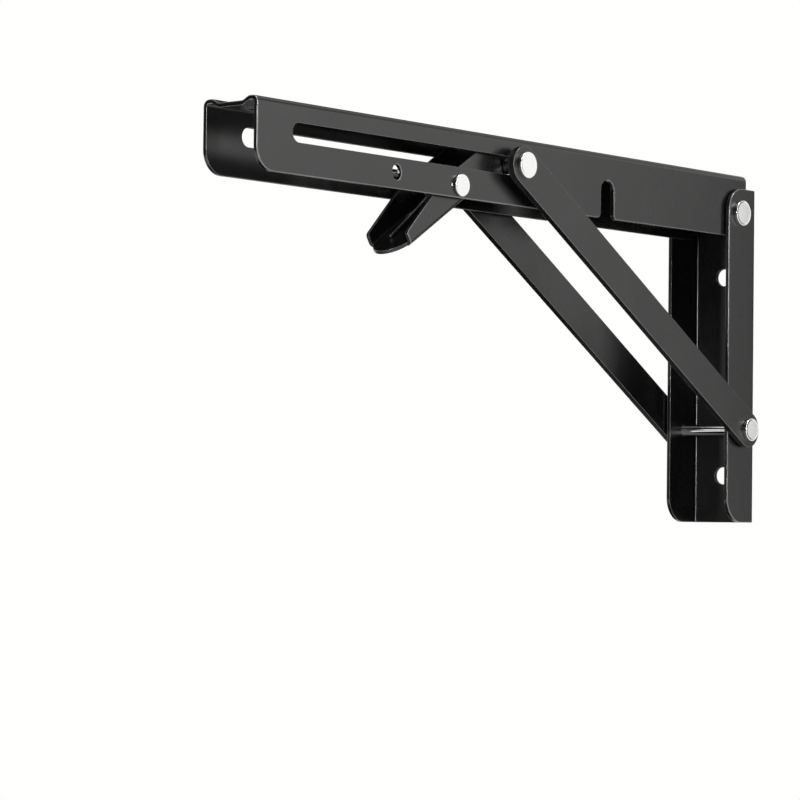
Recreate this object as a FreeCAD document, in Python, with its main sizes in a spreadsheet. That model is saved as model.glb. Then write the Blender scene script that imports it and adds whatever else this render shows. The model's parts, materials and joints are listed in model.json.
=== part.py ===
"""Folding bracket for a drop leaf table: a wall plate, an arm that folds down against the wall,
a two-legged brace whose pin slides in the arm's slots, and a sprung lever that blocks that pin.

X runs from the wall along the arm, Z is up and Y is across; the right side is +Y, as seen when facing
the wall. The origin is on the wall, midway between the two wall holes. Lengths are in millimetres.
"""
import FreeCAD
import Part
import Sketcher
import math
import os

doc = FreeCAD.newDocument("drop_leaf_bracket")
sheet = doc.addObject("Spreadsheet::Sheet", "sizes")

# Driving dimensions, one cell each
DRIVING = [
    ("arm_sheet", 2.0, "thickness of the arm's sheet"),
    ("arm_width", 30.4, "outer width of the arm"),
    ("arm_bend", 3.0, "outer bend radius of the arm"),
    ("arm_tip", 25.6, "arm beyond the slot's outer centre"),
    ("arm_tip_round", 10.0, "lower corner at the free end"),
    ("arm_rear", 9.0, "arm behind the hinge"),
    ("rib_depth", 1.8, "depth of the rib sunk in the arm's web"),
    ("rib_shoulder", 5.2, "shoulder of the arm on each side of the rib"),
    ("rib_slope", 3.4, "width of each sloping side of the rib"),
    ("rib_round", 3.0, "radius along the rib's edges"),
    ("leaf_hole", 5.5, "screw hole for the leaf"),
    ("leaf_inner", 30.8, "first leaf hole from the hinge"),
    ("leaf_inner_pitch", 100.0, "pitch of the two leaf holes near the wall"),
    ("leaf_outer", 14.0, "last leaf hole from the free end"),
    ("leaf_outer_pitch", 60.0, "pitch of the two leaf holes near the free end"),
    ("hinge_drop", 19.1, "hinge below the arm's top"),
    ("hinge_gap", 0.8, "side play between arm and wall plate"),
    ("nest_gap", 0.8, "play between the folded arm and the plate's web"),
    ("plate_sheet", 2.0, "thickness of the wall plate's sheet"),
    ("plate_depth", 23.8, "wall plate from the wall to its front edge"),
    ("plate_bend", 3.0, "outer bend radius of the wall plate"),
    ("plate_above_hinge", 12.1, "wall plate above the hinge"),
    ("plate_below_foot", 45.2, "wall plate below the brace rivet"),
    ("plate_top_round", 11.0, "front top corner of the wall plate"),
    ("plate_foot_round", 12.0, "front bottom corner of the wall plate"),
    ("wall_hole", 8.5, "wall screw hole"),
    ("wall_hole_pitch", 98.0, "pitch of the two wall holes"),
    ("wall_hole_foot", 23.0, "lower wall hole above the plate's end"),
    ("foot_out", 11.4, "brace rivet from the wall"),
    ("foot_drop", 105.7, "brace rivet below the hinge"),
    ("leg_width", 17.0, "width of a brace leg"),
    ("leg_sheet", 3.2, "thickness of a brace leg"),
    ("leg_gap", 0.8, "side play between wall plate and leg"),
    ("slot_drop", 13.0, "slot line below the arm's top"),
    ("slot_height", 8.2, "height of the slots"),
    ("slot_play", 0.2, "play of the slide pin in its slot, all round"),
    ("slot_spare", 2.3, "slot left over beyond the folded pin"),
    ("slide_rest", 176.7, "slide pin from the hinge with the arm up"),
    ("notch_width", 10.0, "notch for the brace rivet in the arm"),
    ("notch_drop", 12.6, "top of the notch below the arm's top"),
    ("notch_flare", 2.5, "round corners at the notch's mouth"),
    ("rivet_fit", 0.05, "radial play of a rivet in its bore"),
    ("hinge_rivet", 6.0, "shaft of the hinge rivet"),
    ("hinge_head", 12.3, "head of the hinge rivet"),
    ("brace_rivet", 5.5, "shaft of the brace rivet"),
    ("brace_head", 11.0, "head of the brace rivet"),
    ("slide_shank", 6.0, "shank of the slide pin in the legs"),
    ("slide_head", 11.8, "head of the slide pin"),
    ("slide_split", 0.3, "cut between slide pin and leg"),
    ("head_height", 2.0, "height of the heads of hinge, brace and slide"),
    ("head_round", 1.1, "round rim of a rivet head"),
    ("head_play", 0.1, "end play under a rivet head"),
    ("lever_rivet", 5.0, "shaft of the lever rivet"),
    ("lever_head", 9.8, "head of the lever rivet"),
    ("lever_head_height", 1.6, "height of the lever rivet's heads"),
    ("lever_sheet", 1.6, "thickness of the lever's sheet"),
    ("lever_gap", 1.3, "side play between arm and lever"),
    ("lever_depth", 14.6, "depth of the lever's channel"),
    ("lever_bend", 2.4, "outer bend radius of the lever"),
    ("lever_tilt", 32.3, "lever's web below the arm's line, degrees"),
    ("lever_from_slide", 37.6, "lever rivet beyond the slide pin"),
    ("lever_below_slot", 12.0, "lever rivet below the slot line"),
    ("lever_edge", 5.5, "lever rivet above the arm's lower edge"),
    ("lever_web_drop", 9.0, "lever rivet above the outside of its web"),
    ("lever_taper", 5.6, "start of the taper beyond the lever rivet"),
    ("lever_taper_round", 70.0, "radius where the taper starts"),
    ("lever_wall_end", 38.8, "end of the lever's walls beyond its rivet"),
    ("lever_end_depth", 6.6, "depth of the channel at that end"),
    ("lever_reach", 45.6, "tip of the lever beyond its rivet"),
    ("lever_web_back", 24.0, "lever's web on the latch side of its rivet"),
    ("lever_corner", 2.0, "round corners of the lever's walls"),
    ("nose_gap", 0.3, "lever's nose from the slide pin"),
    ("nose_head_gap", 0.5, "lever's nose below the arm's web"),
    ("nose_below", 1.5, "lever's nose below the slide pin"),
    ("nose_side_gap", 0.3, "slide pin's end from the lever's wall"),
    ("spring_wire", 1.4, "wire of the spring"),
    ("spring_play", 0.3, "play between the coil and the lever rivet"),
    ("spring_seat", 0.1, "end of the spring's leg above the lever's web"),
    ("spring_turns", 4, "whole turns of the coil"),
    ("spring_pitch", 1.6, "pitch of the coil"),
    ("spring_arm_reach", 34.0, "spring leg along the lever"),
    ("spring_hook", 2.2, "bend radius of the hooked end"),
    ("spring_hook_out", 0.8, "hooked end beyond the arm's flange"),
    ("anchor_out", 42.7, "anchor hole beyond the lever rivet"),
    ("anchor_rise", 1.7, "anchor hole above the lever rivet"),
    ("anchor_width", 5.6, "width of the anchor hole"),
    ("anchor_height", 6.6, "height of the anchor hole"),
]

# Places and fits worked out from the driving dimensions
DERIVED = [
    ("arm_height", "slot_drop + lever_below_slot + lever_edge", "outer height of the arm"),
    ("rib_mouth", "arm_width - 2 * rib_shoulder", "width of the rib at the top"),
    ("rib_floor", "rib_mouth - 2 * rib_slope", "width of the rib at its floor"),
    ("lever_width", "arm_width - 2 * (arm_sheet + lever_gap)", "outer width of the lever"),
    ("plate_width", "arm_width + 2 * (hinge_gap + plate_sheet)", "outer width of the wall plate"),
    ("leg_inside", "plate_width / 2 + leg_gap", "inner face of a leg from the middle"),
    ("leg_outside", "leg_inside + leg_sheet", "outer face of a leg from the middle"),
    ("plate_foot_z", "-(wall_hole_pitch / 2 + wall_hole_foot)", "lower end of the wall plate"),
    ("foot_z", "plate_foot_z + plate_below_foot", "height of the brace rivet"),
    ("hinge_z", "foot_z + foot_drop", "height of the hinge"),
    ("plate_top_z", "hinge_z + plate_above_hinge", "upper end of the wall plate"),
    ("arm_top_z", "hinge_z + hinge_drop", "top of the arm"),
    ("arm_low_z", "arm_top_z - arm_height", "lower edge of the arm"),
    ("slot_z", "arm_top_z - slot_drop", "height of the slot line"),
    ("hinge_x", "plate_sheet + nest_gap + arm_height - hinge_drop", "hinge from the wall"),
    ("slide_x", "hinge_x + slide_rest", "slide pin from the wall"),
    ("leg_rise", "slot_z - foot_z", "rise of a leg from foot to slide pin"),
    ("leg_length", "sqrt((slide_x - foot_out)^2 + leg_rise^2)", "leg from rivet to slide pin"),
    ("fold_offset", "hinge_x + slot_z - hinge_z - foot_out", "folded slot line in front of the foot"),
    ("slide_folded", "foot_drop + sqrt(leg_length^2 - fold_offset^2)", "slide pin from the hinge, folded"),
    ("slot_end_x", "hinge_x + slide_folded + slot_spare", "outer centre of the slot"),
    ("arm_rear_x", "hinge_x - arm_rear", "rear end of the arm"),
    ("arm_end_x", "slot_end_x + arm_tip", "free end of the arm"),
    ("slide_pin", "slot_height - 2 * slot_play", "slide pin in the slots"),
    ("spring_radius", "lever_rivet / 2 + spring_play + spring_wire / 2", "mean radius of the coil"),
    ("lever_x", "slide_x + lever_from_slide", "lever rivet from the wall"),
    ("lever_z", "arm_low_z + lever_edge", "height of the lever rivet"),
    ("lever_free", "lever_depth - lever_web_drop", "lever rivet below the free edges"),
    ("lever_web_in", "lever_web_drop - lever_sheet", "lever rivet above the inside of its web"),
    ("lever_end_free", "lever_end_depth - lever_web_drop", "free edge at the end of the walls"),
    ("nose_middle", "slot_z - lever_z", "slot line above the lever rivet"),
    ("nose_top", "arm_top_z - arm_sheet - rib_depth - nose_head_gap - lever_z", "top of the nose"),
    ("nose_low", "slot_z - slide_pin / 2 - nose_below - lever_z", "bottom of the nose"),
    ("nose_swing", "sqrt(lever_from_slide^2 + nose_middle^2) - slide_pin / 2 - nose_gap",
     "swing of the nose, just short of the slide pin"),
    ("nose_low_x", "-sqrt(nose_swing^2 - nose_low^2)", "nose face at its bottom"),
    ("nose_middle_x", "-sqrt(nose_swing^2 - nose_middle^2)", "nose face at the slot line"),
    ("nose_top_x", "-sqrt(nose_swing^2 - nose_top^2)", "nose face at its top"),
]

for row, (alias, value, note) in enumerate(DRIVING, start=1):
    sheet.set(f"A{row}", note)
    sheet.set(f"B{row}", str(value))
    sheet.setAlias(f"B{row}", alias)
for row, (alias, formula, note) in enumerate(DERIVED, start=len(DRIVING) + 1):
    sheet.set(f"A{row}", note)
    sheet.set(f"B{row}", "=" + formula)
    sheet.setAlias(f"B{row}", alias)
doc.recompute()


def cell(alias):
    """The number in a cell of the sheet."""
    return float(getattr(sheet, alias))


def new_body(label):
    body = doc.addObject("PartDesign::Body", label)
    body.Label = label
    return body


def new_sketch(body, name, plane, across="0", up="0", out="0"):
    """A sketch on one of the body's own planes, its origin moved by three expressions."""
    sketch = body.newObject("Sketcher::SketchObject", name)
    support = [feature for feature in body.Origin.OriginFeatures if feature.Role == plane][0]
    sketch.AttachmentSupport = [(support, "")]
    sketch.MapMode = "FlatFace"
    for axis, expression in (("x", across), ("y", up), ("z", out)):
        sketch.setExpression("AttachmentOffset.Base." + axis, expression)
    return sketch


def number(sketch, expression):
    value = sketch.evalExpression(expression)
    return float(getattr(value, "Value", value))


def bind(sketch, kind, places, expression):
    """A dimension of the sketch that follows an expression."""
    index = sketch.addConstraint(Sketcher.Constraint(kind, *places, number(sketch, expression)))
    sketch.setExpression(f"Constraints[{index}]", expression)


def bind_point(sketch, geometry, end, across, up):
    bind(sketch, "DistanceX", (-1, 1, geometry, end), across)
    bind(sketch, "DistanceY", (-1, 1, geometry, end), up)


def polygon(sketch, corners):
    """A closed outline whose corners are pairs of expressions."""
    points = [FreeCAD.Vector(number(sketch, x), number(sketch, y), 0) for x, y in corners]
    count = len(points)
    for index in range(count):
        sketch.addGeometry(Part.LineSegment(points[index], points[(index + 1) % count]))
    for index in range(count):
        sketch.addConstraint(Sketcher.Constraint("Coincident", index, 2, (index + 1) % count, 1))
    for index, (x, y) in enumerate(corners):
        bind_point(sketch, index, 1, x, y)


def circle(sketch, across, up, diameter):
    centre = FreeCAD.Vector(number(sketch, across), number(sketch, up), 0)
    radius = number(sketch, diameter) / 2
    index = sketch.addGeometry(Part.Circle(centre, FreeCAD.Vector(0, 0, 1), radius))
    bind_point(sketch, index, 3, across, up)
    bind(sketch, "Diameter", (index,), diameter)


def obround(sketch, start, end, radius):
    """Two round ends about two points, joined by tangent lines."""
    first = FreeCAD.Vector(number(sketch, start[0]), number(sketch, start[1]), 0)
    last = FreeCAD.Vector(number(sketch, end[0]), number(sketch, end[1]), 0)
    size = number(sketch, radius)
    turn = math.atan2(last.y - first.y, last.x - first.x)
    side = FreeCAD.Vector(-math.sin(turn), math.cos(turn), 0) * size
    normal = FreeCAD.Vector(0, 0, 1)
    quarter = math.pi / 2
    back_circle = Part.Circle(first, normal, size)
    front_circle = Part.Circle(last, normal, size)
    back = sketch.addGeometry(Part.ArcOfCircle(back_circle, turn + quarter, turn + 3 * quarter))
    low = sketch.addGeometry(Part.LineSegment(first - side, last - side))
    front = sketch.addGeometry(Part.ArcOfCircle(front_circle, turn - quarter, turn + quarter))
    high = sketch.addGeometry(Part.LineSegment(last + side, first + side))
    for one, other in ((back, low), (low, front), (front, high), (high, back)):
        sketch.addConstraint(Sketcher.Constraint("Tangent", one, 2, other, 1))
    bind_point(sketch, back, 3, *start)
    bind_point(sketch, front, 3, *end)
    bind(sketch, "Radius", (back,), radius)


def pad(body, sketch, length, symmetric=False, backwards=False):
    feature = body.newObject("PartDesign::Pad", sketch.Name + "_pad")
    feature.Profile = sketch
    feature.SideType = "Symmetric" if symmetric else "One side"
    feature.Reversed = backwards
    feature.setExpression("Length", length)
    doc.recompute()
    return feature


def pocket(body, sketch, length, symmetric=False, backwards=False):
    """Cut the sketch out of the body, and make sure that it took something away."""
    before = body.Shape.Volume
    feature = body.newObject("PartDesign::Pocket", sketch.Name + "_cut")
    feature.Profile = sketch
    feature.SideType = "Symmetric" if symmetric else "One side"
    feature.Reversed = backwards
    feature.setExpression("Length", length)
    doc.recompute()
    if body.Shape.Volume >= before:
        raise RuntimeError(f"{sketch.Name} cuts nothing")
    return feature


def fillet(body, name, radius, lines):
    """Round the straight edges that lie on the given lines, each a point and a direction."""
    base = body.Tip
    found = []
    for index, edge in enumerate(base.Shape.Edges, start=1):
        ends = [vertex.Point for vertex in edge.Vertexes]
        if len(ends) != 2 or edge.Curve.TypeId != "Part::GeomLine":
            continue
        for point, direction in lines:
            if all(end.distanceToLine(point, direction) < 1e-4 for end in ends):
                found.append(f"Edge{index}")
    if not found:
        raise RuntimeError(f"{name} finds no edges")
    feature = body.newObject("PartDesign::Fillet", name)
    feature.Base = (base, found)
    feature.setExpression("Radius", radius)
    doc.recompute()
    return feature


ALONG = FreeCAD.Vector(1, 0, 0)
ACROSS = FreeCAD.Vector(0, 1, 0)
UPRIGHT = FreeCAD.Vector(0, 0, 1)


def both_sides(y, z):
    """Two lines along the arm, at the same height on either side."""
    return [(FreeCAD.Vector(0, side * y, z), ALONG) for side in (-1, 1)]


def mirrored(half):
    """Corners of the right half, lowest first, joined to the same corners on the left."""
    return half + [("-(" + x + ")", y) for x, y in reversed(half)]


# Wall plate: sheet folded to a channel, its web on the wall and its flanges forward
wall_plate = new_body("wall_plate")
sketch = new_sketch(wall_plate, "plate_section", "XY_Plane", out="sizes.plate_foot_z")
polygon(sketch, [
    ("0", "-sizes.plate_width / 2"),
    ("sizes.plate_depth", "-sizes.plate_width / 2"),
    ("sizes.plate_depth", "-sizes.plate_width / 2 + sizes.plate_sheet"),
    ("sizes.plate_sheet", "-sizes.plate_width / 2 + sizes.plate_sheet"),
    ("sizes.plate_sheet", "sizes.plate_width / 2 - sizes.plate_sheet"),
    ("sizes.plate_depth", "sizes.plate_width / 2 - sizes.plate_sheet"),
    ("sizes.plate_depth", "sizes.plate_width / 2"),
    ("0", "sizes.plate_width / 2"),
])
pad(wall_plate, sketch, "sizes.plate_top_z - sizes.plate_foot_z")
half_plate = cell("plate_width") / 2
plate_inside = half_plate - cell("plate_sheet")
fillet(wall_plate, "plate_outer_bends", "sizes.plate_bend",
       [(FreeCAD.Vector(0, side * half_plate, 0), UPRIGHT) for side in (-1, 1)])
fillet(wall_plate, "plate_inner_bends", "sizes.plate_bend - sizes.plate_sheet",
       [(FreeCAD.Vector(cell("plate_sheet"), side * plate_inside, 0), UPRIGHT) for side in (-1, 1)])
fillet(wall_plate, "plate_top_corners", "sizes.plate_top_round",
       [(FreeCAD.Vector(cell("plate_depth"), 0, cell("plate_top_z")), ACROSS)])
fillet(wall_plate, "plate_foot_corners", "sizes.plate_foot_round",
       [(FreeCAD.Vector(cell("plate_depth"), 0, cell("plate_foot_z")), ACROSS)])
sketch = new_sketch(wall_plate, "plate_wall_holes", "YZ_Plane")
circle(sketch, "0", "sizes.wall_hole_pitch / 2", "sizes.wall_hole")
circle(sketch, "0", "-sizes.wall_hole_pitch / 2", "sizes.wall_hole")
pocket(wall_plate, sketch, "sizes.plate_sheet", backwards=True)
sketch = new_sketch(wall_plate, "plate_bores", "XZ_Plane")
circle(sketch, "sizes.hinge_x", "sizes.hinge_z", "sizes.hinge_rivet + 2 * sizes.rivet_fit")
circle(sketch, "sizes.foot_out", "sizes.foot_z", "sizes.brace_rivet + 2 * sizes.rivet_fit")
pocket(wall_plate, sketch, "2 * sizes.plate_width", symmetric=True)

# Support arm: sheet folded to a channel that opens downwards, with a rib sunk along its web
support_arm = new_body("support_arm")
sketch = new_sketch(support_arm, "arm_section", "YZ_Plane", out="sizes.arm_rear_x")
outer_half = [
    ("sizes.arm_width / 2", "sizes.arm_low_z"),
    ("sizes.arm_width / 2", "sizes.arm_top_z"),
    ("sizes.rib_mouth / 2", "sizes.arm_top_z"),
    ("sizes.rib_floor / 2", "sizes.arm_top_z - sizes.rib_depth"),
]
inner_half = [
    ("sizes.arm_width / 2 - sizes.arm_sheet", "sizes.arm_low_z"),
    ("sizes.arm_width / 2 - sizes.arm_sheet", "sizes.arm_top_z - sizes.arm_sheet"),
    ("sizes.rib_mouth / 2", "sizes.arm_top_z - sizes.arm_sheet"),
    ("sizes.rib_floor / 2", "sizes.arm_top_z - sizes.rib_depth - sizes.arm_sheet"),
]
polygon(sketch, mirrored(outer_half) + list(reversed(mirrored(inner_half))))
pad(support_arm, sketch, "sizes.arm_end_x - sizes.arm_rear_x")
half_arm = cell("arm_width") / 2
arm_inside = half_arm - cell("arm_sheet")
arm_top = cell("arm_top_z")
arm_under = arm_top - cell("arm_sheet")
fillet(support_arm, "arm_outer_bends", "sizes.arm_bend", both_sides(half_arm, arm_top))
fillet(support_arm, "arm_inner_bends", "sizes.arm_bend - sizes.arm_sheet", both_sides(arm_inside, arm_under))
rib_lines = []
for level in (arm_top, arm_under):
    rib_lines += both_sides(cell("rib_mouth") / 2, level)
    rib_lines += both_sides(cell("rib_floor") / 2, level - cell("rib_depth"))
fillet(support_arm, "arm_rib_edges", "sizes.rib_round", rib_lines)
fillet(support_arm, "arm_tip_corners", "sizes.arm_tip_round",
       [(FreeCAD.Vector(cell("arm_end_x"), 0, cell("arm_low_z")), ACROSS)])
fillet(support_arm, "arm_rear_corners", "sizes.arm_rear",
       [(FreeCAD.Vector(cell("arm_rear_x"), 0, cell("arm_low_z")), ACROSS)])
sketch = new_sketch(support_arm, "arm_slots", "XZ_Plane")
obround(sketch, ("sizes.slide_x", "sizes.slot_z"), ("sizes.slot_end_x", "sizes.slot_z"),
        "sizes.slot_height / 2")
pocket(support_arm, sketch, "2 * sizes.arm_width", symmetric=True)
sketch = new_sketch(support_arm, "arm_notches", "XZ_Plane")
notch_x = "sizes.hinge_x + sizes.foot_drop"
obround(sketch, (notch_x, "sizes.arm_low_z - sizes.notch_width"),
        (notch_x, "sizes.arm_top_z - sizes.notch_drop - sizes.notch_width / 2"), "sizes.notch_width / 2")
pocket(support_arm, sketch, "2 * sizes.arm_width", symmetric=True)
notch_middle = cell("hinge_x") + cell("foot_drop")
fillet(support_arm, "arm_notch_mouths", "sizes.notch_flare",
       [(FreeCAD.Vector(notch_middle + side * cell("notch_width") / 2, 0, cell("arm_low_z")), ACROSS)
        for side in (-1, 1)])
sketch = new_sketch(support_arm, "arm_bores", "XZ_Plane")
circle(sketch, "sizes.hinge_x", "sizes.hinge_z", "sizes.hinge_rivet + 2 * sizes.rivet_fit")
circle(sketch, "sizes.lever_x", "sizes.lever_z", "sizes.lever_rivet + 2 * sizes.rivet_fit")
pocket(support_arm, sketch, "2 * sizes.arm_width", symmetric=True)
sketch = new_sketch(support_arm, "arm_anchor_hole", "XZ_Plane")
anchor_x = "sizes.lever_x + sizes.anchor_out"
anchor_z = "sizes.lever_z + sizes.anchor_rise"
anchor_half = "(sizes.anchor_height - sizes.anchor_width) / 2"
obround(sketch, (anchor_x, anchor_z + " - " + anchor_half), (anchor_x, anchor_z + " + " + anchor_half),
        "sizes.anchor_width / 2")
pocket(support_arm, sketch, "sizes.arm_width")
sketch = new_sketch(support_arm, "arm_leaf_holes", "XY_Plane", out="sizes.arm_top_z")
inner_hole = "sizes.hinge_x + sizes.leaf_inner"
outer_hole = "sizes.arm_end_x - sizes.leaf_outer"
for place in (inner_hole, inner_hole + " + sizes.leaf_inner_pitch",
              outer_hole, outer_hole + " - sizes.leaf_outer_pitch"):
    circle(sketch, place, "0", "sizes.leaf_hole")
pocket(support_arm, sketch, "2 * (sizes.arm_sheet + sizes.rib_depth)")

# Brace legs: flat bars with full round ends, one on each outer side
for side, name in ((1, "right"), (-1, "left")):
    leg = new_body("brace_leg_" + name)
    sketch = new_sketch(leg, "leg_outline_" + name, "XZ_Plane", out=f"{-side} * sizes.leg_inside")
    foot = ("sizes.foot_out", "sizes.foot_z")
    head = ("sizes.slide_x", "sizes.slot_z")
    obround(sketch, foot, head, "sizes.leg_width / 2")
    circle(sketch, *foot, "sizes.brace_rivet + 2 * sizes.rivet_fit")
    circle(sketch, *head, "sizes.slide_shank + 2 * sizes.rivet_fit")
    pad(leg, sketch, "sizes.leg_sheet", backwards=side > 0)


def turned(label, across, up, profile, rims):
    """A piece turned about an axis along Y, from a half profile of radii and places along the axis."""
    body = new_body(label)
    outline = new_sketch(body, label + "_profile", "XY_Plane", across=across, out=up)
    polygon(outline, profile)
    feature = body.newObject("PartDesign::Revolution", label + "_turned")
    feature.Profile = outline
    feature.ReferenceAxis = (outline, ["V_Axis"])
    feature.Angle = 360
    doc.recompute()
    rounded = []
    for index, edge in enumerate(feature.Shape.Edges, start=1):
        round_edge = edge.Curve.TypeId == "Part::GeomCircle"
        if round_edge and any(abs(edge.Curve.Center.y - y) < 1e-4 and abs(edge.Curve.Radius - radius) < 1e-4
                              for radius, y in rims):
            rounded.append(f"Edge{index}")
    rim = body.newObject("PartDesign::Fillet", label + "_rims")
    rim.Base = (feature, rounded)
    rim.setExpression("Radius", "sizes.head_round")
    doc.recompute()
    return body


def rivet(label, across, up, shaft, head, seat, height):
    """A rivet with a head on each side, seated on the outermost faces that it holds."""
    under = f"({seat} + sizes.head_play)"
    outside = f"({seat} + sizes.head_play + sizes.{height})"
    profile = [
        ("0", "-" + outside), (f"sizes.{head} / 2", "-" + outside), (f"sizes.{head} / 2", "-" + under),
        (f"sizes.{shaft} / 2", "-" + under), (f"sizes.{shaft} / 2", under), (f"sizes.{head} / 2", under),
        (f"sizes.{head} / 2", outside), ("0", outside),
    ]
    rim_y = sheet.evalExpression(outside)
    rim_y = float(getattr(rim_y, "Value", rim_y))
    turned(label, across, up, profile, [(cell(head) / 2, rim_y), (cell(head) / 2, -rim_y)])


# Rivets at the hinge, at the foot of the brace and through the lever
rivet("hinge_rivet", "sizes.hinge_x", "sizes.hinge_z", "hinge_rivet", "hinge_head",
      "sizes.plate_width / 2", "head_height")
rivet("brace_rivet", "sizes.foot_out", "sizes.foot_z", "brace_rivet", "brace_head",
      "sizes.leg_outside", "head_height")
rivet("lever_rivet", "sizes.lever_x", "sizes.lever_z", "lever_rivet", "lever_head",
      "sizes.arm_width / 2", "lever_head_height")

# Slide pin: a riveted head and shank in each leg, and the thicker pin that runs in each slot
for side, name in ((1, "right"), (-1, "left")):
    outside = f"{side} * (sizes.leg_outside + sizes.head_play + sizes.head_height)"
    under = f"{side} * (sizes.leg_outside + sizes.head_play)"
    inside = f"{side} * sizes.leg_inside"
    rim = (cell("slide_head") / 2, side * (cell("leg_outside") + cell("head_play") + cell("head_height")))
    turned("slide_head_" + name, "sizes.slide_x", "sizes.slot_z", [
        ("0", outside), ("sizes.slide_head / 2", outside), ("sizes.slide_head / 2", under),
        ("sizes.slide_shank / 2", under), ("sizes.slide_shank / 2", inside), ("0", inside),
    ], [rim])
    pin = doc.addObject("Part::Cylinder", "slide_pin_" + name)
    pin.Label = "slide_pin_" + name
    pin_start = "(sizes.lever_width / 2 + sizes.nose_side_gap)"
    pin_end = "(sizes.leg_inside - sizes.slide_split)"
    pin.setExpression("Radius", "sizes.slide_pin / 2")
    pin.setExpression("Height", pin_end + " - " + pin_start)
    pin.Placement = FreeCAD.Placement(FreeCAD.Vector(), FreeCAD.Rotation(ALONG, 90))
    pin.setExpression("Placement.Base.x", "sizes.slide_x")
    pin.setExpression("Placement.Base.y", pin_end if side > 0 else "-" + pin_start)
    pin.setExpression("Placement.Base.z", "sizes.slot_z")

# Latch lever: sheet folded to a channel, its web below and its walls tapered towards the handle
COS = "cos(sizes.lever_tilt)"
SIN = "sin(sizes.lever_tilt)"


def on_lever(along, above):
    """A point given along the lever from its rivet and above it, square to the web."""
    return (f"(({along}) * {COS} + ({above}) * {SIN})", f"(({above}) * {COS} - ({along}) * {SIN})")


latch_lever = new_body("latch_lever")
sketch = new_sketch(latch_lever, "lever_side", "XZ_Plane", across="sizes.lever_x", up="sizes.lever_z")
ramp_top = f"(sizes.lever_free * {COS} - sizes.nose_top) / {SIN}"
web_back = f"-(sizes.nose_low + sizes.lever_web_drop * {COS}) / {SIN}"
polygon(sketch, [
    ("sizes.nose_low_x", "sizes.nose_low"),
    on_lever(web_back, "-sizes.lever_web_drop"),
    on_lever("sizes.lever_wall_end", "-sizes.lever_web_drop"),
    on_lever("sizes.lever_wall_end", "sizes.lever_end_free"),
    on_lever("sizes.lever_taper", "sizes.lever_free"),
    on_lever(ramp_top, "sizes.lever_free"),
    ("sizes.nose_top_x", "sizes.nose_top"),
    ("sizes.nose_middle_x", "sizes.nose_middle"),
])
pad(latch_lever, sketch, "sizes.lever_width", symmetric=True)


def lever_line(along, above, y, direction):
    """A line through a point of the lever, in the bracket's own frame."""
    tilt = math.radians(cell("lever_tilt"))
    x = cell("lever_x") + along * math.cos(tilt) + above * math.sin(tilt)
    z = cell("lever_z") + above * math.cos(tilt) - along * math.sin(tilt)
    return (FreeCAD.Vector(x, y, z), direction)


lever_turn = math.radians(cell("lever_tilt"))
lever_run = FreeCAD.Vector(math.cos(lever_turn), 0, -math.sin(lever_turn))
half_lever = cell("lever_width") / 2
lever_inside = half_lever - cell("lever_sheet")
fillet(latch_lever, "lever_outer_bends", "sizes.lever_bend",
       [lever_line(0, -cell("lever_web_drop"), side * half_lever, lever_run) for side in (-1, 1)])
sketch = new_sketch(latch_lever, "lever_inside", "XZ_Plane", across="sizes.lever_x", up="sizes.lever_z")
clear = "2 * sizes.lever_reach"
polygon(sketch, [
    on_lever("-" + clear, "-sizes.lever_reach"),
    on_lever("-sizes.lever_web_back", "-sizes.lever_reach"),
    on_lever("-sizes.lever_web_back", "-sizes.lever_web_in"),
    on_lever(clear, "-sizes.lever_web_in"),
    on_lever(clear, clear),
    on_lever("-" + clear, clear),
])
pocket(latch_lever, sketch, "sizes.lever_width - 2 * sizes.lever_sheet", symmetric=True)
fillet(latch_lever, "lever_inner_bends", "sizes.lever_bend - sizes.lever_sheet",
       [lever_line(0, -cell("lever_web_in"), side * lever_inside, lever_run) for side in (-1, 1)])
fillet(latch_lever, "lever_taper_curve", "sizes.lever_taper_round",
       [lever_line(cell("lever_taper"), cell("lever_free"), 0, ACROSS)])
fillet(latch_lever, "lever_corners", "sizes.lever_corner", [
    lever_line(cell("lever_wall_end"), cell("lever_end_free"), 0, ACROSS),
    (FreeCAD.Vector(cell("lever_x") + cell("nose_low_x"), 0, cell("lever_z") + cell("nose_low")), ACROSS),
    (FreeCAD.Vector(cell("lever_x") + cell("nose_top_x"), 0, cell("lever_z") + cell("nose_top")), ACROSS),
])
sketch = new_sketch(latch_lever, "lever_tongue", "XY_Plane", across="sizes.lever_x", out="sizes.lever_z")
sketch.AttachmentOffset = FreeCAD.Placement(FreeCAD.Vector(), FreeCAD.Rotation(ACROSS, cell("lever_tilt")))
sketch.setExpression("AttachmentOffset.Rotation.Angle", "sizes.lever_tilt")
sketch.setExpression("AttachmentOffset.Base.x", f"sizes.lever_x - sizes.lever_web_drop * {SIN}")
sketch.setExpression("AttachmentOffset.Base.z", f"sizes.lever_z - sizes.lever_web_drop * {COS}")
tongue_half = "(sizes.lever_width / 2 - sizes.lever_bend)"
obround(sketch, ("0", "0"), ("sizes.lever_reach - " + tongue_half, "0"), tongue_half)
pad(latch_lever, sketch, "sizes.lever_sheet")
sketch = new_sketch(latch_lever, "lever_bore", "XZ_Plane")
circle(sketch, "sizes.lever_x", "sizes.lever_z", "sizes.lever_rivet + 2 * sizes.rivet_fit")
pocket(latch_lever, sketch, "2 * sizes.lever_width", symmetric=True)


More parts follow.
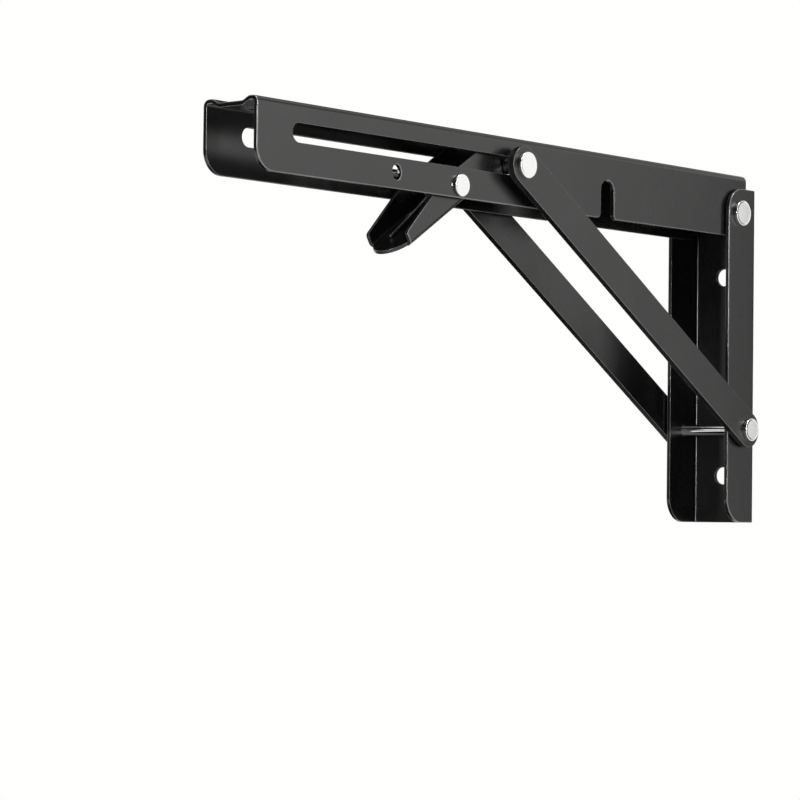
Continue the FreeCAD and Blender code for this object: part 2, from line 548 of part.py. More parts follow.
def spring_shape():
    """Torsion spring: hooked end through the arm, leg, coil round the rivet, leg along the lever."""
    tilt = math.radians(cell("lever_tilt"))
    radius = cell("spring_radius")
    wire = cell("spring_wire")
    pivot = FreeCAD.Vector(cell("lever_x"), 0, cell("lever_z"))
    hook = FreeCAD.Vector(cell("anchor_out"), 0, cell("anchor_rise"))
    start_turn = math.atan2(hook.z, hook.x) + math.acos(radius / hook.Length)
    reach = cell("spring_arm_reach")
    drop = cell("lever_web_in") - wire / 2 - cell("spring_seat")
    dip = tilt + math.asin(drop / math.hypot(radius, reach)) - math.atan2(radius, reach)
    end_turn = 1.5 * math.pi - dip
    sweep = 2 * math.pi * cell("spring_turns") + end_turn - start_turn
    height = cell("spring_pitch") * sweep / (2 * math.pi)

    def on_coil(share):
        turn = start_turn + share * sweep
        spoke = FreeCAD.Vector(math.cos(turn), 0, math.sin(turn))
        return pivot + spoke * radius + ACROSS * height * (0.5 - share)

    arcs = 2 * int(cell("spring_turns")) + 1
    coil = [Part.Arc(on_coil(i / arcs), on_coil((i + 0.5) / arcs), on_coil((i + 1) / arcs)).toShape()
            for i in range(arcs)]
    start = on_coil(0)
    end = on_coil(1)
    corner = pivot + hook + ACROSS * height / 2
    towards = (corner - start).normalize()
    bend = cell("spring_hook")
    before = corner - towards * bend
    after = corner + ACROSS * bend
    middle = before + ACROSS * bend + (towards - ACROSS) * (bend / math.sqrt(2))
    hook_end = FreeCAD.Vector(corner.x, half_arm + cell("spring_hook_out"), corner.z)
    leg_end = end + FreeCAD.Vector(math.cos(dip), 0, -math.sin(dip)) * reach
    path = Part.Wire([
        Part.LineSegment(hook_end, after).toShape(),
        Part.Arc(after, middle, before).toShape(),
        Part.LineSegment(before, start).toShape(),
    ] + coil + [Part.LineSegment(end, leg_end).toShape()])
    section = Part.Wire(Part.makeCircle(wire / 2, hook_end, ACROSS))
    return path.makePipeShell([section], True, False, 0)


latch_spring = doc.addObject("Part::Feature", "latch_spring")
latch_spring.Label = "latch_spring"
latch_spring.Shape = spring_shape()
doc.recompute()

# Checks on every object, then one file for each piece
for item in doc.Objects:
    if "Invalid" in item.State or "Error" in item.State:
        raise RuntimeError(f"{item.Name} failed: {item.State}")
pieces = [item for item in doc.Objects
          if item.TypeId in ("PartDesign::Body", "Part::Cylinder", "Part::Feature")]
for piece in pieces:
    if piece.Shape.isNull() or not piece.Shape.isValid() or len(piece.Shape.Solids) != 1:
        raise RuntimeError(f"{piece.Label} is not one sound solid")
os.makedirs("parts", exist_ok=True)
for piece in pieces:
    piece.Shape.exportStep(f"parts/{piece.Label}.step")
    print(f"{piece.Label}: {piece.Shape.Volume:.1f} cubic millimetres")
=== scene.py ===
import bmesh
import bpy
import json
import math
import numpy as np
from mathutils import Matrix, Vector
from mathutils.bvhtree import BVHTree


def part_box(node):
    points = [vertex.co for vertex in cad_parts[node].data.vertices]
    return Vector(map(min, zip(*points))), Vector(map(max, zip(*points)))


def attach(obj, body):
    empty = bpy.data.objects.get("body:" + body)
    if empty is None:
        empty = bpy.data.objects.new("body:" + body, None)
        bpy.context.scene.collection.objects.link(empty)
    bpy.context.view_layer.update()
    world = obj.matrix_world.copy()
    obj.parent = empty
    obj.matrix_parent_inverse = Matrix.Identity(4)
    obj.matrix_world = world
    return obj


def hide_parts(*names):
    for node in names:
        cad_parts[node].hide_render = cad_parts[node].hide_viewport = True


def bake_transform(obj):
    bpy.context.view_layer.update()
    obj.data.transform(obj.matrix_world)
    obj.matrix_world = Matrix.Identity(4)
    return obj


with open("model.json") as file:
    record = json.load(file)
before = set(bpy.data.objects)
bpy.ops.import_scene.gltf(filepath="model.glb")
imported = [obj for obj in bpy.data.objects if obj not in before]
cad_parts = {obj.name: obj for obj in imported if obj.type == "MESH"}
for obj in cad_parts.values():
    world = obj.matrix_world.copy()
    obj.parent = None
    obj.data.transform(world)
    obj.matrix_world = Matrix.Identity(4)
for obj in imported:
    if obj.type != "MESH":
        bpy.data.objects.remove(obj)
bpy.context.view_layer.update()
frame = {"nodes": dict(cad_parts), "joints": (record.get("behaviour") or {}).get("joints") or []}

# Wall plate: 2 mm sheet steel, punched, folded to a channel and powder coated black. Stamping leaves
# its cut edges slightly rolled, and the coat rounds them further, so every arris catches a thin line
# of light; the eased faces also carry a lighter colour, a painted highlight. Lengths are in metres.
ARRIS = 0.0004                        # width of an eased edge
CRISP_SHARE = 0.35                    # share of it that is left on the burr side of a punched edge
STRAY_SHARE = 0.22                    # share of it that an eased point may stand off the sheet
BEVEL_STEPS = 3
SHARP = math.radians(40)              # an edge that turns more than this is an arris
ONE_FLAT = math.radians(0.4)          # faces that turn less than this are one flat
SEAM = 1e-6                           # loose points closer than this are one point
TILT_STEPS, DEPTH_STEPS = 500, 20000  # how finely planes are told apart, by tilt and by depth
EASED_WEIGHT = 1e-12
SIDEWAYS = 0.9                        # a face whose normal has more than this along Y is a side
COAT_IOR = 1.64
EASED, DULLED = 1, 2                  # places of the painted-highlight arris coat and the dulled coat on a piece
WALL_INSIDE = ((-0.001, -0.0167, -0.080), (0.030, 0.0167, 0.095))


def flat_normals(mesh):
    """A normal for each vertex: the mean of its sheet faces, each weighted by the area of the whole
    plane it lies in, so that flats stay flat. Eased faces count only where no sheet face meets."""
    count = len(mesh.polygons)
    normal, middle = np.empty(count * 3), np.empty(count * 3)
    area, kind, sides = np.empty(count), np.empty(count, np.int32), np.empty(count, np.int32)
    for name, values in (("normal", normal), ("center", middle), ("area", area),
                         ("material_index", kind), ("loop_total", sides)):
        mesh.polygons.foreach_get(name, values)
    normal, middle = normal.reshape(-1, 3), middle.reshape(-1, 3)
    depth = (normal * middle).sum(1)
    plane = np.round(np.column_stack([normal * TILT_STEPS, depth * DEPTH_STEPS]))
    group = np.unique(plane, axis=0, return_inverse=True)[1].ravel()
    weight = np.where(kind == EASED, EASED_WEIGHT, np.bincount(group, area)[group])
    corner = np.empty(len(mesh.loops), np.int32)
    mesh.loops.foreach_get("vertex_index", corner)
    total = np.zeros((len(mesh.vertices), 3))
    np.add.at(total, corner, np.repeat(normal * weight[:, None], sides, axis=0))
    length = np.linalg.norm(total, axis=1, keepdims=True)
    mesh.normals_split_custom_set_from_vertices(total / length)


def back_to_sheet(eased, sheet, reach):
    """Points that the bevel threw further than reach from the sheet's own surface go to their
    nearest place on it."""
    surface = BVHTree.FromPolygons([v.co for v in sheet.vertices],
                                   [p.vertices for p in sheet.polygons])
    nearest = [surface.find_nearest(v.co) for v in eased.vertices]
    places = np.array([place for place, _, _, _ in nearest])
    gaps = np.array([gap for _, _, _, gap in nearest])
    points = np.empty((len(eased.vertices), 3), np.float32)
    eased.vertices.foreach_get("co", points.ravel())
    points[gaps > reach] = places[gaps > reach]
    eased.vertices.foreach_set("co", points.ravel())
    eased.update()


def coated_copy(node, body, arris, crisp=(), dull_inside=False):
    """The node's own surface with its loose triangles joined, flat faces merged, and arrises eased
    by a bevel.

    Edges inside a crisp box keep a fraction of the bevel, as on the burr side of a punched sheet.
    Where the inside is dull, faces towards the bracket's middle get the rubbed coat."""
    mesh = frame["nodes"][node].data.copy()
    shell = bmesh.new()
    shell.from_mesh(mesh)
    bmesh.ops.remove_doubles(shell, verts=shell.verts, dist=SEAM)
    bmesh.ops.dissolve_limit(shell, angle_limit=ONE_FLAT, verts=shell.verts, edges=shell.edges)
    eased = shell.edges.layers.float.new("bevel_weight_edge")
    for edge in shell.edges:
        if edge.calc_face_angle(0) > SHARP:
            middle = (edge.verts[0].co + edge.verts[1].co) / 2
            burr = any(all(low[i] <= middle[i] <= high[i] for i in range(3)) for low, high in crisp)
            edge[eased] = CRISP_SHARE if burr else 1.0
    for face in shell.faces:
        inward = face.normal.y * face.calc_center_median().y < 0
        if dull_inside and inward and abs(face.normal.y) > SIDEWAYS:
            face.material_index = DULLED
    shell.to_mesh(mesh)
    shell.free()
    mesh.polygons.foreach_set("use_smooth", np.ones(len(mesh.polygons), bool))
    mesh.materials.clear()
    for material in (coat, arris_highlight_coat, dull_coat):
        mesh.materials.append(material)
    piece = bpy.data.objects.new(node + "_coated", mesh)
    bpy.context.scene.collection.objects.link(piece)
    ease = piece.modifiers.new("eased_arrises", "BEVEL")
    ease.width = arris
    ease.segments = BEVEL_STEPS
    ease.limit_method = "WEIGHT"
    ease.use_clamp_overlap = False
    ease.loop_slide = False
    # the bevel's faces take the lighter arris coat, a painted highlight
    ease.material = EASED
    worked = piece.evaluated_get(bpy.context.evaluated_depsgraph_get())
    finished = bpy.data.meshes.new_from_object(worked)
    finished.name = node + "_coated"
    piece.modifiers.clear()
    piece.data = finished
    back_to_sheet(finished, mesh, arris * STRAY_SHARE)
    flat_normals(finished)
    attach(piece, body)
    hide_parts(node)


def new_node(nodes, kind, values):
    """A new shader node of a kind, with sockets set by name."""
    node = nodes.new("ShaderNode" + kind)
    for name, value in values.items():
        node.inputs[name].default_value = value
    return node


def new_material(name):
    """A new material, its nodes and links, and its Principled shader."""
    material = bpy.data.materials.new(name)
    material.use_nodes = True
    nodes = material.node_tree.nodes
    return material, nodes, material.node_tree.links, nodes["Principled BSDF"]


def two_tones(nodes, dark, light):
    """A mix from a dark colour to a light one."""
    tone = nodes.new("ShaderNodeMix")
    tone.data_type = "RGBA"
    tone.inputs["A"].default_value = (*dark, 1)
    tone.inputs["B"].default_value = (*light, 1)
    return tone


def coat_texture():
    """Orange peel of a powder coat: soft noise for its height, and slow patches for its gloss."""
    group = bpy.data.node_groups.new("powder_coat_texture", "ShaderNodeTree")
    for way, names in (("INPUT", ("Peel per metre", "Patches per metre",
                                  "Roughness low", "Roughness high")),
                       ("OUTPUT", ("Height", "Roughness", "Patch"))):
        for name in names:
            group.interface.new_socket(name, in_out=way, socket_type="NodeSocketFloat")
    nodes, links = group.nodes, group.links
    into = nodes.new("NodeGroupInput")
    out = nodes.new("NodeGroupOutput")
    place = nodes.new("ShaderNodeTexCoord")
    peel = new_node(nodes, "TexNoise", {"Detail": 2.0, "Roughness": 0.45})
    patch = new_node(nodes, "TexNoise", {"Detail": 3.0})
    spread = new_node(nodes, "MapRange", {"From Min": 0.35, "From Max": 0.65})
    links.new(place.outputs["Object"], peel.inputs["Vector"])
    links.new(place.outputs["Object"], patch.inputs["Vector"])
    links.new(into.outputs["Peel per metre"], peel.inputs["Scale"])
    links.new(into.outputs["Patches per metre"], patch.inputs["Scale"])
    links.new(patch.outputs["Fac"], spread.inputs["Value"])
    links.new(into.outputs["Roughness low"], spread.inputs["To Min"])
    links.new(into.outputs["Roughness high"], spread.inputs["To Max"])
    links.new(peel.outputs["Fac"], out.inputs["Height"])
    links.new(spread.outputs["Result"], out.inputs["Roughness"])
    links.new(patch.outputs["Fac"], out.inputs["Patch"])
    return group


def black_coat(name, low, high):
    """Satin black powder coat: near-black colour with faint patches, roughness between low and high,
    and orange peel in the normal."""
    material, nodes, links, shader = new_material(name)
    shader.inputs["IOR"].default_value = COAT_IOR
    texture = nodes.new("ShaderNodeGroup")
    texture.node_tree = peel_group
    texture.inputs["Peel per metre"].default_value = 900
    texture.inputs["Patches per metre"].default_value = 35
    texture.inputs["Roughness low"].default_value = low
    texture.inputs["Roughness high"].default_value = high
    tint = two_tones(nodes, (0.0028, 0.0028, 0.0027), (0.0042, 0.0042, 0.0040))
    bump = new_node(nodes, "Bump", {"Strength": 0.12, "Distance": 0.00004})
    links.new(texture.outputs["Patch"], tint.inputs["Factor"])
    links.new(tint.outputs["Result"], shader.inputs["Base Color"])
    links.new(texture.outputs["Roughness"], shader.inputs["Roughness"])
    links.new(texture.outputs["Height"], bump.inputs["Height"])
    links.new(bump.outputs["Normal"], shader.inputs["Normal"])
    return material


def painted_highlight_arris():
    """The coat on the eased arrises: lighter grey and partly metallic, varied by a noise. It is a
    painted highlight that draws thin lines of light along the edges."""
    material, nodes, links, shader = new_material("painted_highlight_arris")
    shader.inputs["IOR"].default_value = COAT_IOR
    shader.inputs["Roughness"].default_value = 0.22
    place = nodes.new("ShaderNodeTexCoord")
    highlight_noise = new_node(nodes, "TexNoise", {"Scale": 55, "Detail": 5.0})
    highlight_metallic = new_node(nodes, "MapRange",
                    {"From Min": 0.30, "From Max": 0.70, "To Min": 0.35, "To Max": 0.65})
    tone = two_tones(nodes, (0.13, 0.13, 0.13), (0.28, 0.28, 0.275))
    links.new(place.outputs["Object"], highlight_noise.inputs["Vector"])
    links.new(highlight_noise.outputs["Fac"], highlight_metallic.inputs["Value"])
    links.new(highlight_metallic.outputs["Result"], shader.inputs["Metallic"])
    links.new(highlight_noise.outputs["Fac"], tone.inputs["Factor"])
    links.new(tone.outputs["Result"], shader.inputs["Base Color"])
    return material


peel_group = coat_texture()
coat = black_coat("black_powder_coat", 0.24, 0.30)
dull_coat = black_coat("rubbed_powder_coat", 0.50, 0.58)
arris_highlight_coat = painted_highlight_arris()
coated_copy("wall_plate", "wall", ARRIS, [WALL_INSIDE])

# Support arm: 2 mm sheet folded to a channel that opens downwards, a rib pressed along its web, its
# slots, notches and holes punched before folding. It has the same black coat and turns on the hinge
# rivet.
ARM_INSIDE = ((0.000, -0.0142, 0.055), (0.365, 0.0142, 0.0955))
SLOTS = ((0.150, -0.030, 0.0805), (0.345, 0.030, 0.0895))
coated_copy("support_arm", "arm", ARRIS, [ARM_INSIDE, SLOTS])

# Brace legs: flat steel bars with round ends, stamped from thicker sheet and coated black, riveted
# loosely at the foot and at the slide pin. Their inner faces are dulled where they swing past the
# arm and the plate.
LEG_ARRIS = ARRIS * 0.4
coated_copy("brace_leg_right", "brace", LEG_ARRIS, dull_inside=True)
coated_copy("brace_leg_left", "brace", LEG_ARRIS, dull_inside=True)

# Latch lever: thinner sheet folded to a channel with a rounded tongue as its handle, coated black.
# It turns on its rivet inside the arm, and its nose stands in front of the slide pin.
LEVER_ARRIS = ARRIS * 0.8
LEVER_INSIDE = ((0.190, -0.0106, 0.020), (0.310, 0.0106, 0.095))
coated_copy("latch_lever", "lever", LEVER_ARRIS, [LEVER_INSIDE])

# Rivets and slide pin: turned steel, bright zinc plated, with flat heads pressed over at assembly.
# The heads hold the arm, the legs and the lever. Profiles are in millimetres.
TURNED_SIDES = 96
MEET = 1e-7                          # points of a skin closer than this, in metres, are one point
CREST = 0.32                         # radius of a head's rounded rim
DISH_SLOPE, DISH_DEPTH = 0.65, 0.05  # slope from the rim down to the dished face
DISH_EDGE = 1.12                     # how far inside the rim the level face begins
SEAT_CHAMFER = 0.12
CURVE_STEPS = 7
SLIDE_SHAFT, SLIDE_HEAD, SLIDE_HEAD_HEIGHT = 3.0, 5.9, 2.0
PIN_CHAMFER = 0.3


def varied_metal(name, per_metre, detail, smooth, rough, dark, light):
    """Bare metal whose roughness and tone follow one soft noise: from smooth to rough, and from dark
    to light."""
    material, nodes, links, shader = new_material(name)
    shader.inputs["Metallic"].default_value = 1.0
    place = nodes.new("ShaderNodeTexCoord")
    cloud = new_node(nodes, "TexNoise", {"Scale": per_metre, "Detail": detail})
    gloss = new_node(nodes, "MapRange", {"To Min": smooth, "To Max": rough})
    tone = two_tones(nodes, dark, light)
    links.new(place.outputs["Object"], cloud.inputs["Vector"])
    links.new(cloud.outputs["Fac"], gloss.inputs["Value"])
    links.new(cloud.outputs["Fac"], tone.inputs["Factor"])
    links.new(gloss.outputs["Result"], shader.inputs["Roughness"])
    links.new(tone.outputs["Result"], shader.inputs["Base Color"])
    return material


def skin(name, rings):
    """A smooth piece over rings of points: every point joins its neighbours in its own ring and in
    the next, and points that meet become one."""
    count, sides = rings.shape[:2]
    ring, step = np.meshgrid(np.arange(count - 1), np.arange(sides), indexing="ij")
    after = (step + 1) % sides
    quads = np.stack([ring * sides + step, ring * sides + after,
                      (ring + 1) * sides + after, (ring + 1) * sides + step], axis=-1)
    mesh = bpy.data.meshes.new(name)
    mesh.from_pydata(rings.reshape(-1, 3).tolist(), [], quads.reshape(-1, 4).tolist())
    shell = bmesh.new()
    shell.from_mesh(mesh)
    bmesh.ops.remove_doubles(shell, verts=shell.verts, dist=MEET)
    bmesh.ops.recalc_face_normals(shell, faces=shell.faces)
    shell.to_mesh(mesh)
    shell.free()
    mesh.polygons.foreach_set("use_smooth", np.ones(len(mesh.polygons), bool))
    piece = bpy.data.objects.new(name, mesh)
    bpy.context.scene.collection.objects.link(piece)
    return piece


def turned(node, body, outline):
    """A profile of radius and height turned round the node's own axis along Y: every profile point
    times a circle."""
    low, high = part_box(node)
    axis_x, axis_z = (low[0] + high[0]) / 2, (low[2] + high[2]) / 2
    radius, height = np.array(outline, float).T[..., None] / 1000
    turn = np.linspace(0, 2 * math.pi, TURNED_SIDES, endpoint=False)
    rings = np.broadcast_arrays(axis_x + radius * np.cos(turn), height,
                                axis_z + radius * np.sin(turn))
    piece = skin(node + "_turned", np.stack(rings, axis=-1))
    flats = piece.modifiers.new("flat_faces_stay_flat", "WEIGHTED_NORMAL")
    flats.mode = "FACE_AREA"
    flats.weight = 100
    flats.keep_sharp = False
    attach(piece, body)
    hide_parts(node)
    piece.data.materials.append(plating)


def head(radius, seat, top):
    """A pressed head from its seat to its top: chamfer, straight side, quarter circle at the rim,
    and a slope that eases in and out, as three squares less two cubes, to a level face."""
    side = 1 if top > seat else -1
    crest = [(radius - CREST + CREST * math.cos(a), top - side * (CREST - CREST * math.sin(a)))
             for a in np.linspace(0, math.pi / 2, CURVE_STEPS)]
    dish = [(radius - CREST - DISH_SLOPE * u, top - side * DISH_DEPTH * (3 * u * u - 2 * u * u * u))
            for u in np.linspace(0, 1, CURVE_STEPS)[1:]]
    face = [(radius - DISH_EDGE, top - side * DISH_DEPTH), (0, top - side * DISH_DEPTH)]
    seated = [(radius - SEAT_CHAMFER, seat), (radius, seat + side * SEAT_CHAMFER)]
    return seated + crest + dish + face


def rivet(node, body, shaft, head_radius, head_height):
    """A shaft with a head on each side; the node's box gives its length."""
    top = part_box(node)[1][1] * 1000
    seat = top - head_height
    turned(node, body, head(head_radius, -seat, -top)[::-1] + [(shaft, -seat), (shaft, seat)]
           + head(head_radius, seat, top))


plating = varied_metal("bright_plated_steel", 260, 4.0, 0.09, 0.16,
                       (0.88, 0.88, 0.88), (0.96, 0.96, 0.955))
rivet("hinge_rivet", "wall", shaft=3.0, head_radius=6.15, head_height=2.0)
rivet("brace_rivet", "wall", shaft=2.75, head_radius=5.5, head_height=2.0)
rivet("lever_rivet", "arm", shaft=2.5, head_radius=4.9, head_height=1.6)
for side, name in ((1, "right"), (-1, "left")):
    low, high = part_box("slide_head_" + name)
    inside, top = sorted((low[1] * 1000, high[1] * 1000), key=abs)
    seat = top - side * SLIDE_HEAD_HEIGHT
    turned("slide_head_" + name, "brace",
           [(0, inside), (SLIDE_SHAFT, inside), (SLIDE_SHAFT, seat)] + head(SLIDE_HEAD, seat, top))
    low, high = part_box("slide_pin_" + name)
    wide = (high[0] - low[0]) * 500
    near, far = low[1] * 1000, high[1] * 1000
    turned("slide_pin_" + name, "slider",
           [(0, near), (wide - PIN_CHAMFER, near), (wide, near + PIN_CHAMFER),
            (wide, far - PIN_CHAMFER), (wide - PIN_CHAMFER, far), (0, far)])

# Latch spring: one length of drawn steel wire wound round the lever rivet, oiled and darker than the
# plating. Its hooked end sits in the arm's hole and its straight leg pushes the lever down, so in
# use the coil twists when the lever is pressed; here it is built at rest. Lengths are in
# millimetres.
WIRE_RADIUS = 0.7
WIRE_SIDES = 20
WIRE_CHAMFER = WIRE_RADIUS * 0.2
COIL_RADIUS = 3.5
COIL_WIDTH = 7.0438
COIL_START, COIL_END = math.radians(87.582), math.radians(87.582 + 1584.862)
HOOK_OUT, HOOK_RISE, HOOK_END, HOOK_BEND = 42.7, 1.7, 16.0, 2.2
LEG_REACH = 34.0
HOOK_STEPS, BEND_STEPS, RUN_STEPS, COIL_STEPS = 6, 13, 10, 212
LEVER_PIVOT = next(joint for joint in frame["joints"] if joint["name"] == "lever_press")["pos_m"]


def spring_path():
    """The wire's middle line from the rivet's middle, and the angle of a spoke that stays square
    to it.

    A run along -Y to the bend, a quarter circle, a run to the coil along its tangent, a helix about
    Y of COIL_RADIUS and COIL_WIDTH, and a run along the tangent at its end. The spoke turns with the
    helix alone."""
    turn = np.linspace(COIL_START, COIL_END, COIL_STEPS)
    share = np.linspace(0.5, -0.5, COIL_STEPS)
    coil = np.stack([COIL_RADIUS * np.cos(turn), COIL_WIDTH * share, COIL_RADIUS * np.sin(turn)],
                    axis=1)
    across = np.array([0, 1.0, 0])
    corner = np.array([HOOK_OUT, COIL_WIDTH / 2, HOOK_RISE])
    towards = (corner - coil[0]) / np.linalg.norm(corner - coil[0])
    quarter = np.linspace(math.pi / 2, 0, BEND_STEPS)[:, None]
    middle = corner + HOOK_BEND * (across - towards)
    bend = middle + HOOK_BEND * (towards * np.sin(quarter) - across * np.cos(quarter))
    hook = bend[0] + (HOOK_END - bend[0, 1]) * across * np.linspace(1, 0, HOOK_STEPS)[:-1, None]
    run = bend[-1] + (coil[0] - bend[-1]) * np.linspace(0, 1, RUN_STEPS)[1:-1, None]
    tangent = np.array([-math.sin(COIL_END), 0, math.cos(COIL_END)])
    leg = coil[-1] + LEG_REACH * tangent * np.linspace(0, 1, RUN_STEPS)[1:, None]
    line = np.concatenate([hook, bend, run, coil, leg])
    before, after = len(hook) + len(bend) + len(run), len(leg)
    return line, np.concatenate([np.full(before, COIL_START), turn, np.full(after, COIL_END)])


def drawn_wire(name, line, spoke_angle):
    """Rings of WIRE_RADIUS round a line: each point plus the spoke and its square times a circle,
    ends chamfered."""
    along = np.gradient(line, axis=0)
    along /= np.linalg.norm(along, axis=1, keepdims=True)
    spoke = np.stack([np.cos(spoke_angle), np.zeros(len(line)), np.sin(spoke_angle)], axis=1)
    square = np.cross(along, spoke)
    order = np.r_[0, 0, np.arange(len(line)), len(line) - 1, len(line) - 1]
    shift, girth = np.zeros(len(order)), np.full(len(order), WIRE_RADIUS)
    shift[[2, -3]] = WIRE_CHAMFER, -WIRE_CHAMFER
    girth[[1, -2]] = WIRE_RADIUS - WIRE_CHAMFER
    girth[[0, -1]] = 0
    turn = np.linspace(0, 2 * math.pi, WIRE_SIDES, endpoint=False)[:, None]
    rings = (line[order] + shift[:, None] * along[order])[:, None] + girth[:, None, None] * (
        spoke[order][:, None] * np.cos(turn) + square[order][:, None] * np.sin(turn))
    axis = np.array([LEVER_PIVOT[0], 0, LEVER_PIVOT[2]])
    piece = skin(name, rings / 1000 + axis)
    piece.data.set_sharp_from_angle(angle=SHARP)
    return piece


spring = drawn_wire("latch_spring_wire", *spring_path())
spring.data.materials.append(varied_metal("drawn_spring_wire", 900, 2.0, 0.22, 0.38,
                                          (0.42, 0.42, 0.43), (0.56, 0.56, 0.56)))
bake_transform(spring)
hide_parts("latch_spring")

# Stage: a plain pale floor below the bracket, a round sheet as in a studio. It shows white to the
# camera and in reflections, and keeps a faint shadow.
MIDDLE_X = 0.16                      # the bracket's middle along the arm
FLOOR_SIDES, FLOOR_RADIUS, FLOOR_HEIGHT = 96, 1.0, -0.30
STUDIO_WHITE = (1, 1, 0.985, 1)
mesh = bpy.data.meshes.new("floor")
around = np.linspace(0, 2 * math.pi, FLOOR_SIDES, endpoint=False)
rim = np.stack([MIDDLE_X + FLOOR_RADIUS * np.cos(around), FLOOR_RADIUS * np.sin(around),
                np.full(FLOOR_SIDES, FLOOR_HEIGHT)], axis=1)
mesh.from_pydata(rim.tolist(), [], [list(range(FLOOR_SIDES))])
floor = bpy.data.objects.new("floor", mesh)
bpy.context.scene.collection.objects.link(floor)


def seen_directly(nodes, links):
    """1 for camera, glossy and transmission rays, 0 for the rays that light the object."""
    path = nodes.new("ShaderNodeLightPath")
    seen = path.outputs["Is Camera Ray"]
    for ray in ("Is Glossy Ray", "Is Transmission Ray"):
        either = nodes.new("ShaderNodeMath")
        either.operation = "MAXIMUM"
        links.new(seen, either.inputs[0])
        links.new(path.outputs[ray], either.inputs[1])
        seen = either.outputs["Value"]
    return seen


paper, nodes, links, shader = new_material("pale_floor")
nodes.remove(shader)
matte = new_node(nodes, "BsdfDiffuse", {"Color": (0.85, 0.85, 0.85, 1)})
glow = new_node(nodes, "Emission", {"Color": STUDIO_WHITE})
mixed = nodes.new("ShaderNodeMixShader")
share = nodes.new("ShaderNodeMath")
share.operation = "MULTIPLY"
share.inputs[1].default_value = 0.9
links.new(seen_directly(nodes, links), share.inputs[0])
links.new(share.outputs["Value"], mixed.inputs["Fac"])
links.new(matte.outputs["BSDF"], mixed.inputs[1])
links.new(glow.outputs["Emission"], mixed.inputs[2])
links.new(mixed.outputs["Shader"], nodes["Material Output"].inputs["Surface"])
floor.data.materials.append(paper)

# Light: a white surround that lights softly, a soft lamp above, and two tall strips that draw the
# lines along the arrises. Black, grey and white cards, which only reflections see, stand round the
# bracket as they would round any glossy part in a studio.
CARD_BLACK = (0.001, 0.001, 0.001, 1)
FLAG_FOOT = -0.29                    # just above the floor
FLAG_REACH, FRONT_REACH = 1.2, 1.6   # how far the flags stand from the bracket's middle
FRONT_TURN = 40                      # degrees that each front flag takes up
HOLE_HEIGHT, HOLE_HALF, HOLE_DEPTH = 0.049, 0.0044, 0.001
PIN_CARD_Y = -0.34
world = bpy.data.worlds.new("studio")
bpy.context.scene.world = world
world.use_nodes = True
nodes, links = world.node_tree.nodes, world.node_tree.links
backdrop = nodes["Background"]
backdrop.inputs["Color"].default_value = STUDIO_WHITE
level = new_node(nodes, "MapRange", {"To Min": 0.15, "To Max": 1.0})
links.new(seen_directly(nodes, links), level.inputs["Value"])
links.new(level.outputs["Result"], backdrop.inputs["Strength"])


def softbox(name, place, aim, width, height, power):
    """A flat soft lamp at place that faces aim; the camera does not see it."""
    data = bpy.data.lights.new(name, "AREA")
    data.shape = "RECTANGLE"
    data.size = width
    data.size_y = height
    data.energy = power
    lamp = bpy.data.objects.new(name, data)
    bpy.context.scene.collection.objects.link(lamp)
    lamp.location = place
    lamp.rotation_euler = (Vector(aim) - lamp.location).to_track_quat("-Z", "Y").to_euler()
    lamp.visible_camera = False


def card(name, corners, material):
    """A flat card between four corners, which only reflections see."""
    mesh = bpy.data.meshes.new(name)
    mesh.from_pydata(corners, [], [(0, 1, 2, 3)])
    sheet = bpy.data.objects.new(name, mesh)
    bpy.context.scene.collection.objects.link(sheet)
    for ray in ("camera", "diffuse", "transmission", "volume_scatter", "shadow"):
        setattr(sheet, "visible_" + ray, False)
    mesh.materials.append(material)


def level_card(name, x, y, height, material):
    """A card that lies level at a height, between two values of x and two of y."""
    card(name, [(x[0], y[0], height), (x[1], y[0], height),
                (x[1], y[1], height), (x[0], y[1], height)], material)


def bearing(degrees, reach, height):
    """A point at a bearing from +X towards +Y, reach metres from the bracket's middle."""
    angle = math.radians(degrees)
    return (MIDDLE_X + reach * math.cos(angle), reach * math.sin(angle), height)


def upright_flag(name, start, end, reach, bottom, top, material):
    """A flag that stands between two bearings, from bottom to top."""
    card(name, [bearing(start, reach, bottom), bearing(end, reach, bottom),
                bearing(end, reach, top), bearing(start, reach, top)], material)


def glowing_card(name, strength):
    """Card stock that shows one even strength in reflections."""
    material, _, _, shader = new_material(name)
    shader.inputs["Base Color"].default_value = CARD_BLACK
    shader.inputs["Emission Color"].default_value = (1, 1, 1, 1)
    shader.inputs["Emission Strength"].default_value = strength
    return material


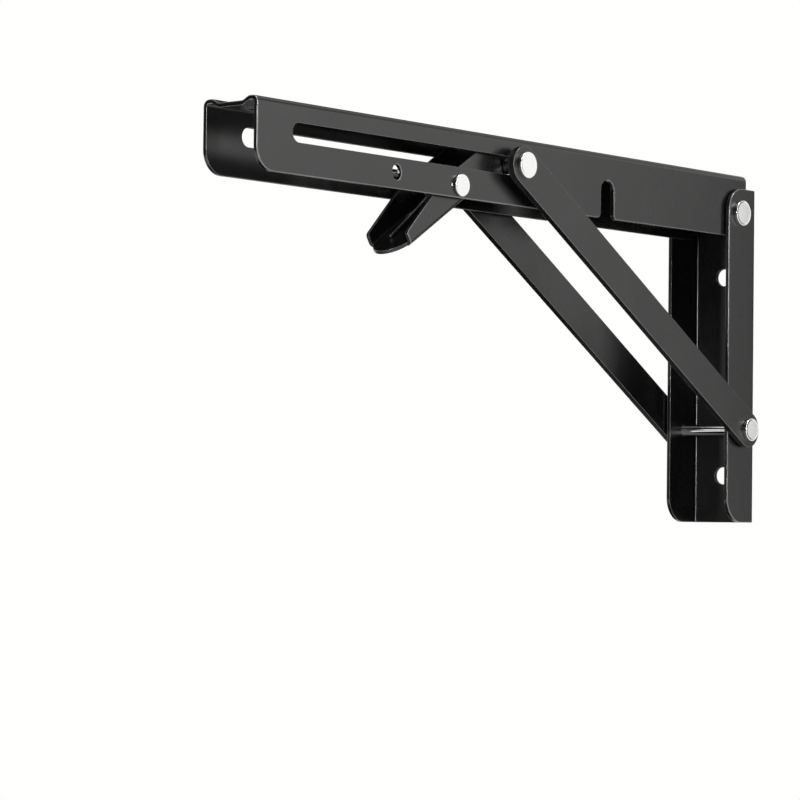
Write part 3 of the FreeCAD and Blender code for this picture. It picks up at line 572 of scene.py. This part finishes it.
felt, _, _, shader = new_material("black_felt")
shader.inputs["Base Color"].default_value = CARD_BLACK
shader.inputs["Specular IOR Level"].default_value = 0.0
white_card = glowing_card("white_card", 1.0)
grey_card = glowing_card("grey_card", 0.45)
softbox("key_softbox", (0.10, 0.25, 1.15), (MIDDLE_X, 0, 0.03), width=0.5, height=0.5, power=7)
softbox("right_strip", (-0.250, 1.128, 0.30), (MIDDLE_X, 0, 0.05),
        width=0.06, height=0.50, power=2.5)
softbox("front_strip", (1.35, 0.16, 0.20), (MIDDLE_X, 0, 0.05), width=0.06, height=0.50, power=10)
for start in range(-2 * FRONT_TURN, 2 * FRONT_TURN, FRONT_TURN):
    upright_flag("front_flag_" + str(start + 2 * FRONT_TURN), start, start + FRONT_TURN,
                 FRONT_REACH, FLAG_FOOT, 1.5, felt)
for name, start, end, bottom, top, material in (
        ("wall_flag", 150, 174, FLAG_FOOT, 0.35, felt),
        ("left_flag", 205, 240, FLAG_FOOT, 1.2, felt),
        ("upper_flag_right", 85, 118, 0.75, 1.4, felt),
        ("upper_flag_rear", 118, 150, 0.85, 1.4, felt),
        ("upper_flag_wall", 150, 205, 0.60, 1.4, grey_card)):
    upright_flag(name, start, end, FLAG_REACH, bottom, top, material)
level_card("zenith_flag", (-0.6, 0.8), (-1.4, -0.1), 1.25, felt)
level_card("floor_flag", (-0.14, 0.50), (-1.00, -0.08), FLAG_FOOT, felt)
for name, height in (("upper", HOLE_HEIGHT), ("lower", -HOLE_HEIGHT)):
    card("hole_flag_" + name, [(HOLE_DEPTH, -HOLE_HALF, height - HOLE_HALF),
                               (HOLE_DEPTH, HOLE_HALF, height - HOLE_HALF),
                               (HOLE_DEPTH, HOLE_HALF, height + HOLE_HALF),
                               (HOLE_DEPTH, -HOLE_HALF, height + HOLE_HALF)], felt)
for name, corners in (
        ("pin_card", ((0.44, -0.03), (0.535, -0.03), (0.535, 0.09), (0.44, 0.09))),
        ("pin_card_upper", ((0.20, 0.36), (0.47, 0.13), (0.47, 0.21), (0.20, 0.44)))):
    card(name, [(x, PIN_CARD_Y, z) for x, z in corners], white_card)

# Camera: a long lens from the right and a little below, as in the photograph. Its place, direction
# and roll were fitted to the bracket's edges there.
CAMERA_PLACE = (1.276169, 0.864348, -0.076037)
CAMERA_AHEAD = (-0.76440028, -0.64345269, 0.04075352)
CAMERA_ROLL = math.radians(0.7157)
camera_data = bpy.data.cameras.new("camera")
camera_data.sensor_width = 36.0
camera_data.lens = 139.63
camera_data.clip_end = 50
camera = bpy.data.objects.new("camera", camera_data)
bpy.context.scene.collection.objects.link(camera)
aimed = Vector(CAMERA_AHEAD).normalized().to_track_quat("-Z", "Y").to_matrix().to_4x4()
rolled = aimed @ Matrix.Rotation(CAMERA_ROLL, 4, "Z")
camera.matrix_world = Matrix.Translation(CAMERA_PLACE) @ rolled
bpy.context.scene.camera = camera
bpy.context.scene.view_settings.view_transform = "Standard"
